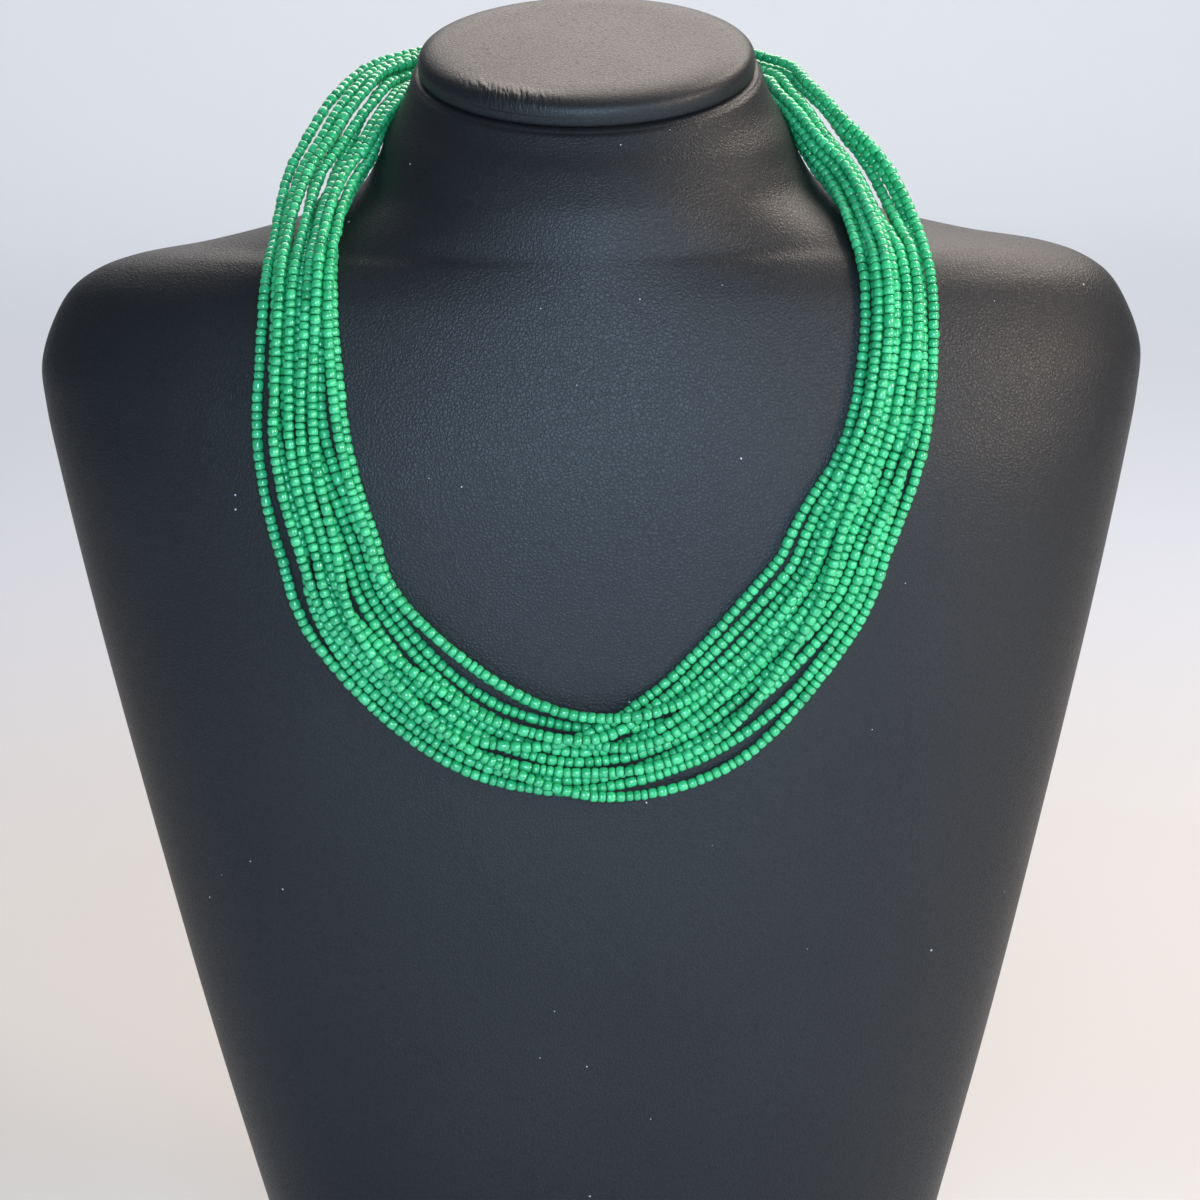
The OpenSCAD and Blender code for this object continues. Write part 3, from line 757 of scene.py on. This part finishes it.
def padded_cap():
    """The cap: rings drawn in by the roll of its edge, then inwards over a low crown, and a mark of
    how hard the cover was pulled round the edge, strongest at the front left."""
    sides = 300
    top = BUST_TABLE[-1].copy()
    top[[0, 5]] = 0
    profile = np.array([
        [1.0, 0.0], [0.45, 0.12], [0.14, 0.55], [0.02, 1.2], [0.0, 2.0], [0.05, 2.9], [0.28, 3.8],
        [0.72, 4.6], [1.4, 5.28], [2.35, 5.82], [3.6, 6.25], [5.2, 6.56], [7.2, 6.76], [9.4, 6.86]])
    steps = np.linspace(0, len(profile) - 1, 46)
    profile = catmull(profile, steps)
    outer = rims(np.repeat(top[None], len(profile), 0), sides, CAP_INSET + profile[:, 0])
    outer[..., 2] += CAP_SEAM + profile[:, 1, None]
    shrink = np.linspace(1, 0.02, 28)[1:]
    rim = outer[-1]
    centre = rim.mean(0)
    inner = centre + (rim - centre) * shrink[:, None, None]
    inner[..., 2] += (0.14 * (1 - shrink ** 2))[:, None]
    grid = np.concatenate([outer, inner])
    angle = np.arctan2(grid[..., 1] / NECK_D, grid[..., 0] / NECK_W)
    size = np.hypot(grid[..., 0] / (NECK_W / 2), grid[..., 1] / (NECK_D / 2))
    pull = (np.exp(-((np.degrees(angle) + 122) / 19) ** 2) * np.exp(-((size - 0.87) / 0.075) ** 2)
            * (grid[..., 2] > 3.0))
    tilt = math.radians(NECK_TILT)
    y, z = grid[..., 1].copy(), grid[..., 2].copy()
    grid[..., 1] = y * math.cos(tilt) - z * math.sin(tilt)
    grid[..., 2] = NECK_TOP + y * math.sin(tilt) + z * math.cos(tilt)
    return grid, pull


BEAD_PROFILE = np.array([  # along as a share of the length, then radius as a share of the diameter
    [-0.37, 0.15], [-0.47, 0.22], [-0.50, 0.30], [-0.45, 0.395], [-0.28, 0.472], [0.0, 0.50],
    [0.28, 0.472], [0.45, 0.395], [0.50, 0.30], [0.47, 0.22], [0.37, 0.15]])
# Painted shade of each profile row, growing towards the bead's mouths, where the beads meet.
BEAD_SHADE = np.clip((np.abs(BEAD_PROFILE[:, 0]) - 0.3) / 0.2, 0, 1)
BEAD_SIDES = 12


def string_of_beads(line, up, settings, rng):
    """Beads along one line: a round profile of the bead's own length and diameter carried round the thread,
    each bead turned and tilted a little. Returns points, faces, and each point's tint and how much painted
    shade it takes towards the bead's mouth."""
    places = np.linspace(0, len(line) - 1, 6 * len(line))
    fine, ups = catmull(line, places), catmull(up, places)
    runs = np.concatenate([[0], np.cumsum(np.linalg.norm(np.diff(fine, axis=0), axis=1))])
    mean_l, mean_d = settings.bead_l / MM, settings.bead_d / MM
    count = int(round(runs[-1] / (mean_l * 1.03)))
    length = mean_l * np.clip(rng.normal(1.0, 0.13, count), 0.72, 1.45)
    length[rng.random(count) < 0.06] *= 1.3
    diameter = mean_d * np.clip(rng.normal(1.0, 0.035, count), 0.9, 1.08)
    pitch = length * 1.02
    pitch *= runs[-1] / pitch.sum()
    centre_run = np.cumsum(pitch) - pitch / 2
    centre, ahead, behind, over = (
        np.stack([np.interp(centre_run + shift, runs, curve[:, c]) for c in range(3)], -1)
        for shift, curve in ((0, fine), (pitch / 2, fine), (-pitch / 2, fine), (0, ups)))
    along = unit(ahead - behind + rng.normal(0, 0.045, (count, 3)) * pitch[:, None])
    side = unit(np.cross(along, over))
    top = np.cross(side, along)
    centre = centre + (side * rng.normal(0, 0.05, (count, 1)) + top * rng.normal(0, 0.04, (count, 1)))
    turn = rng.random(count)[:, None] * 2 * np.pi / BEAD_SIDES
    angle = turn + np.linspace(0, 2 * np.pi, BEAD_SIDES, endpoint=False)[None, :]
    ring = (side[:, None] * np.cos(angle)[..., None] + top[:, None] * np.sin(angle)[..., None])
    lumpy = 1 + 0.018 * np.sin(2 * (angle + rng.random((count, 1)) * 6.3))
    ring = ring * lumpy[..., None]
    profile = BEAD_PROFILE
    rows, sides = len(profile), BEAD_SIDES
    points = (centre[:, None, None]
              + along[:, None, None] * (length[:, None] * profile[None, :, 0])[:, :, None, None]
              + ring[:, None] * (diameter[:, None] * profile[None, :, 1])[:, :, None, None])
    r, i = np.meshgrid(np.arange(rows), np.arange(sides), indexing="ij")
    r2, i2 = (r + 1) % rows, (i + 1) % sides
    bead = np.stack([r * sides + i, r2 * sides + i, r2 * sides + i2, r * sides + i2], -1).reshape(-1, 4)
    faces = (bead[None] + (np.arange(count) * rows * sides)[:, None, None]).reshape(-1, 4)
    tint = np.repeat(np.clip(rng.normal(0.5, 0.2, count), 0, 1), rows * sides)
    # Painted shade towards each bead's mouths.
    depth = np.tile(np.repeat(BEAD_SHADE, sides), count)
    return points.reshape(-1, 3), faces, tint, depth


def thread_tube(line, up, diameter):
    """A six sided thread carried along the line."""
    along = unit(np.gradient(line, axis=0))
    side = unit(np.cross(along, up))
    top = np.cross(side, along)
    angle = np.linspace(0, 2 * np.pi, 6, endpoint=False)
    grid = line[:, None] + (side[:, None] * np.cos(angle)[None, :, None]
                            + top[:, None] * np.sin(angle)[None, :, None]) * diameter / 2
    return closed_loft(grid)


def clasp_form(centre, half):
    """The clasp along X: a round barrel with a groove round its middle, which widens in a smooth step
    into a squarish cup at each end, with a fine ring where the cup starts and a rounded outer edge.
    Places along it are shares of its half length, heights are millimetres."""
    sides, barrel, groove_depth, ring_height, edge_cut = 96, 3.25, 0.4, 0.18, 0.35
    cup_start, cup_run, edge_start = 0.4, 0.41, 0.975
    x = np.concatenate([
        [-1, -0.995, -0.98], np.linspace(-0.965, -0.81, 5), np.linspace(-0.78, -0.42, 14),
        [-0.405, -0.39, -0.3, -0.2, -0.1, -0.055, -0.04, 0]])
    x = np.concatenate([x, -x[-2::-1]])
    side = np.abs(x)
    mouth = np.clip((side - cup_start) / cup_run, 0, 1)
    mouth = mouth * mouth * (3 - 2 * mouth)
    groove = groove_depth * np.clip(1 - side / 0.05, 0, 1)
    ring = ring_height * (np.abs(side - cup_start) < 0.012)
    edge = edge_cut * np.clip((side - edge_start) / (1 - edge_start), 0, 1) ** 2
    high_half, deep_half = (barrel + (h - barrel) * mouth - groove + ring - edge for h in (half[2], half[1]))
    angle = np.linspace(0, 2 * np.pi, sides, endpoint=False)[None, :]
    c, s = np.cos(angle), np.sin(angle)
    power = 2 / (2 + 2.2 * mouth)[:, None]
    return np.stack([np.broadcast_to(x[:, None] * half[0], (len(x), sides)),
                     deep_half[:, None] * np.sign(c) * np.abs(c) ** power,
                     high_half[:, None] * np.sign(s) * np.abs(s) ** power], -1) + centre


class NECKLACE_OT_bust(bpy.types.Operator):
    """Build the covered bust over its solid"""
    bl_idname = "necklace.bust"
    bl_label = "Covered bust"

    def execute(self, context):
        chosen = context.scene.necklace_bust
        points, faces = closed_loft(covered_bust(chosen.edge / MM))
        piece = new_object("bust_cover", points, faces, [leather_material("bust_leatherette", chosen)])
        finish_piece(piece, "leatherette", "bust")
        return {"FINISHED"}


class NECKLACE_OT_cap(bpy.types.Operator):
    """Build the padded cap on the neck"""
    bl_idname = "necklace.cap"
    bl_label = "Neck cap"

    def execute(self, context):
        chosen = context.scene.necklace_bust
        grid, pull = padded_cap()
        points, faces = closed_loft(grid)
        material = leather_material("cap_leatherette", chosen, depth_share=0.6, creased=True)
        piece = new_object("cap_cover", points, faces, [material])
        marks = piece.data.attributes.new("cover_pull", "FLOAT", "POINT")
        marks.data.foreach_set("value", np.concatenate([pull.ravel(), [0, 0]]))
        finish_piece(piece, "leatherette", "neck_cap")
        return {"FINISHED"}


class NECKLACE_OT_strands(bpy.types.Operator):
    """Lay the strings of beads and thread every bead"""
    bl_idname = "necklace.strands"
    bl_label = "Strings of beads"

    def execute(self, context):
        chosen = context.scene.necklace_strands
        lines, up = settle(chosen.gap / MM)
        if not np.isfinite(lines).all():
            raise RuntimeError("the strings did not come to rest")
        glass = bead_material(chosen)
        thread = thread_material(chosen.thread)
        rng = np.random.default_rng(chosen.seed)
        for node, line in zip(STRAND_NODES, lines):
            points, faces, tint, mouth = string_of_beads(line, up, chosen, rng)
            thread_points, thread_faces = thread_tube(line, up, chosen.thread_d / MM)
            offset = len(points)
            all_faces = faces.tolist() + [[i + offset for i in face] for face in thread_faces]
            piece = new_object(node + "_beads", np.concatenate([points, thread_points]), all_faces,
                               [glass, thread])
            marks = np.zeros(len(all_faces), int)
            marks[len(faces):] = 1
            piece.data.polygons.foreach_set("material_index", marks)
            # Each point's tint, and the painted shade towards its bead's mouths.
            for name, values, rest in (("bead_tint", tint, 0.5), ("bead_mouth_shade", mouth, 1.0)):
                marks = piece.data.attributes.new(name, "FLOAT", "POINT")
                marks.data.foreach_set("value", np.concatenate([values, np.full(len(thread_points), rest)]))
            finish_piece(piece, "beads", node)
        return {"FINISHED"}


class NECKLACE_OT_clasp(bpy.types.Operator):
    """Build the clasp behind the neck"""
    bl_idname = "necklace.clasp"
    bl_label = "Clasp"

    def execute(self, context):
        low, high = (np.array(c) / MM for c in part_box("clasp"))
        points, faces = closed_loft(clasp_form((low + high) / 2, (high - low) / 2))
        piece = new_object("clasp_body", points, faces, [clasp_material()])
        finish_piece(piece, "clasp_metal", "clasp")
        return {"FINISHED"}


class NECKLACE_OT_stage(bpy.types.Operator):
    """Set the pale floor, the soft lights and the camera"""
    bl_idname = "necklace.stage"
    bl_label = "Stage"

    def execute(self, context):
        chosen = context.scene.necklace_stage
        scene = context.scene
        across = np.linspace(-FLOOR_HALF, FLOOR_HALF, 3)
        turn = np.linspace(0.1, np.pi / 2, 14)
        wall = SWEEP_START + SWEEP_RADIUS
        along = np.concatenate([np.linspace(FLOOR_FRONT, SWEEP_START, 8),
                                SWEEP_START + SWEEP_RADIUS * np.sin(turn), [wall, wall]])
        up = np.concatenate([np.zeros(8), SWEEP_RADIUS * (1 - np.cos(turn)), [2.6, 4.0]])
        grid = np.stack(np.broadcast_arrays(across[None, :], along[:, None], up[:, None]), -1)
        rows, columns = grid.shape[:2]
        r, i = np.meshgrid(np.arange(rows - 1), np.arange(columns - 1), indexing="ij")
        first = r * columns + i
        quads = np.stack([first, first + 1, first + columns + 1, first + columns], -1).reshape(-1, 4)
        material, tree, shader, vector = new_material("pale_floor")
        parts = add(tree, "ShaderNodeSeparateXYZ", (-900, 0))
        tree.links.new(vector, parts.inputs[0])
        away = add(tree, "ShaderNodeMapRange", (-700, 0), From_Min=RAMP_FRONT, From_Max=RAMP_END)
        tree.links.new(parts.outputs["Y"], away.inputs["Value"])
        # Painted light: the floor's colours along its length, cool in front for bluish light on the chest,
        # then toned to even out the lamps' falloff.
        ramp = add(tree, "ShaderNodeValToRGB", (-400, 0))
        ramp.color_ramp.interpolation = "EASE"
        stops = ramp.color_ramp.elements
        stops[0].position, stops[1].position = RAMP_STOPS[:2]
        for position in RAMP_STOPS[2:]:
            stops.new(position)
        for stop, colour in zip(stops, (chosen.front, chosen.floor, chosen.middle, chosen.backdrop)):
            stop.color = (*colour, 1)
        tree.links.new(away.outputs["Result"], ramp.inputs["Fac"])
        tree.links.new(ramp.outputs["Color"], shader.inputs["Base Color"])
        shader.inputs["Roughness"].default_value = 0.9
        shader.inputs["Specular IOR Level"].default_value = 0.1
        floor = new_object("floor", grid.reshape(-1, 3) / MM, quads.tolist(), [material])

        world = bpy.data.worlds.new("room_light")
        world.use_nodes = True
        background = world.node_tree.nodes["Background"]
        background.inputs["Color"].default_value = (0.95, 0.97, 1.0, 1)
        background.inputs["Strength"].default_value = chosen.sky
        scene.world = world
        scene.view_settings.view_transform = "Standard"

        for name, place, aim, size, setting, share, colour in LAMPS:
            lamp = bpy.data.lights.new(name, "AREA")
            lamp.shape = "RECTANGLE"
            lamp.size, lamp.size_y = size
            lamp.energy = share * getattr(chosen, setting)
            lamp.color = colour
            holder = bpy.data.objects.new(name, lamp)
            holder.location = place
            holder.rotation_euler = (Vector(aim) - Vector(place)).to_track_quat("-Z", "Y").to_euler()
            scene.collection.objects.link(holder)

        camera = bpy.data.cameras.new("camera")
        camera.lens = CAMERA_LENS
        camera.sensor_width = 36.0
        camera.clip_start = 0.05
        camera.dof.use_dof = False
        holder = bpy.data.objects.new("camera", camera)
        rise, aim = math.radians(CAMERA_RISE), Vector(CAMERA_AIM)
        holder.location = aim + Vector((0, -math.cos(rise), math.sin(rise))) * CAMERA_DISTANCE
        look = (aim - holder.location).to_track_quat("-Z", "Y")
        holder.rotation_euler = (look @ Quaternion((0, 0, 1), math.radians(CAMERA_ROLL))).to_euler()
        scene.collection.objects.link(holder)
        scene.camera = holder
        return {"FINISHED"}


class NECKLACE_PT_panel(bpy.types.Panel):
    """Sizes, colours and build buttons"""
    bl_idname = "NECKLACE_PT_panel"
    bl_label = "Bead necklace"
    bl_space_type = "VIEW_3D"
    bl_region_type = "UI"
    bl_category = "Necklace"

    def draw(self, context):
        for settings, operators in (
                ("necklace_stage", ("necklace.stage",)),
                ("necklace_bust", ("necklace.bust", "necklace.cap")),
                ("necklace_strands", ("necklace.strands", "necklace.clasp"))):
            box = self.layout.box()
            group = getattr(context.scene, settings)
            for name in group.__annotations__:
                box.prop(group, name)
            for operator in operators:
                box.operator(operator)


CLASSES = (BustSettings, StrandSettings, StageSettings, NECKLACE_OT_stage, NECKLACE_OT_bust, NECKLACE_OT_cap,
           NECKLACE_OT_strands, NECKLACE_OT_clasp, NECKLACE_PT_panel)
SETTINGS = {"necklace_bust": BustSettings, "necklace_strands": StrandSettings,
            "necklace_stage": StageSettings}


def register():
    for cls in CLASSES:
        bpy.utils.register_class(cls)
    for name, cls in SETTINGS.items():
        setattr(bpy.types.Scene, name, bpy.props.PointerProperty(type=cls))


def unregister():
    for name in SETTINGS:
        delattr(bpy.types.Scene, name)
    for cls in reversed(CLASSES):
        bpy.utils.unregister_class(cls)


def main():
    register()
    bpy.ops.necklace.stage()
    bpy.ops.necklace.bust()
    bpy.ops.necklace.cap()
    bpy.ops.necklace.strands()
    bpy.ops.necklace.clasp()


if __name__ == "__main__":
    main()
